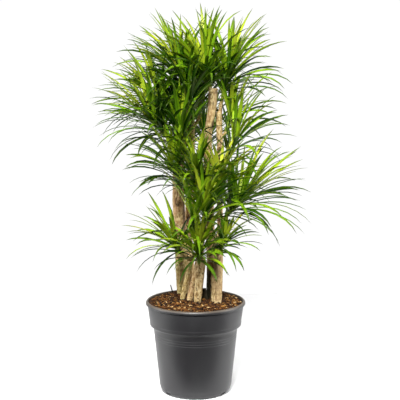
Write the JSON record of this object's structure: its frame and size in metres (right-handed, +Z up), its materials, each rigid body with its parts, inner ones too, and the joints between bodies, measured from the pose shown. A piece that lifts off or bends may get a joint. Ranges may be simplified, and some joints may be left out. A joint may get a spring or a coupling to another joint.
{
  "type": "potted dracaena",
  "caption": "Tall potted dracaena: bare tan canes rise from a dark plastic nursery pot of bark mulch and carry arching heads of narrow green strap leaves.",
  "frame": {"origin": "centre of the pot's flat underside", "axes": "+Z up along the pot's axis; -Y towards the viewer of the picture, and +X to the viewer's right"},
  "size_m": [0.5896, 0.5476, 1.0621],
  "materials": {
    "pot": "matt dark grey injection-moulded polypropylene",
    "mulch": "loose reddish-brown bark and coir mulch",
    "cane": "dry tan cane bark with darker spots and leaf-scar rings",
    "leaf": "smooth half-gloss strap leaves, yellow-green when young"
  },
  "bodies": {
    "root": {"pot": "pot", "mulch": "mulch", "cane_left": "cane", "cane_back": "cane", "cane_thin": "cane", "cane_front_tall": "cane", "cane_front_short": "cane", "cane_centre": "cane", "cane_right": "cane", "cane_far": "cane", "head_centre_top": "leaf", "head_back_top": "leaf", "head_far_top": "leaf", "head_left_upper": "leaf", "head_left_outer": "leaf", "head_left_front": "leaf", "head_far_outer": "leaf", "head_far_low": "leaf", "head_right": "leaf", "head_front_tall": "leaf", "head_thin": "leaf", "head_front_mid": "leaf", "head_front_short": "leaf", "head_right_low": "leaf", "head_back_mid": "leaf", "head_back_low": "leaf", "head_centre_back": "leaf", "head_left_mid": "leaf", "head_centre_mid": "leaf", "head_bright": "leaf", "head_inner": "leaf"}
  },
  "joints": []
}
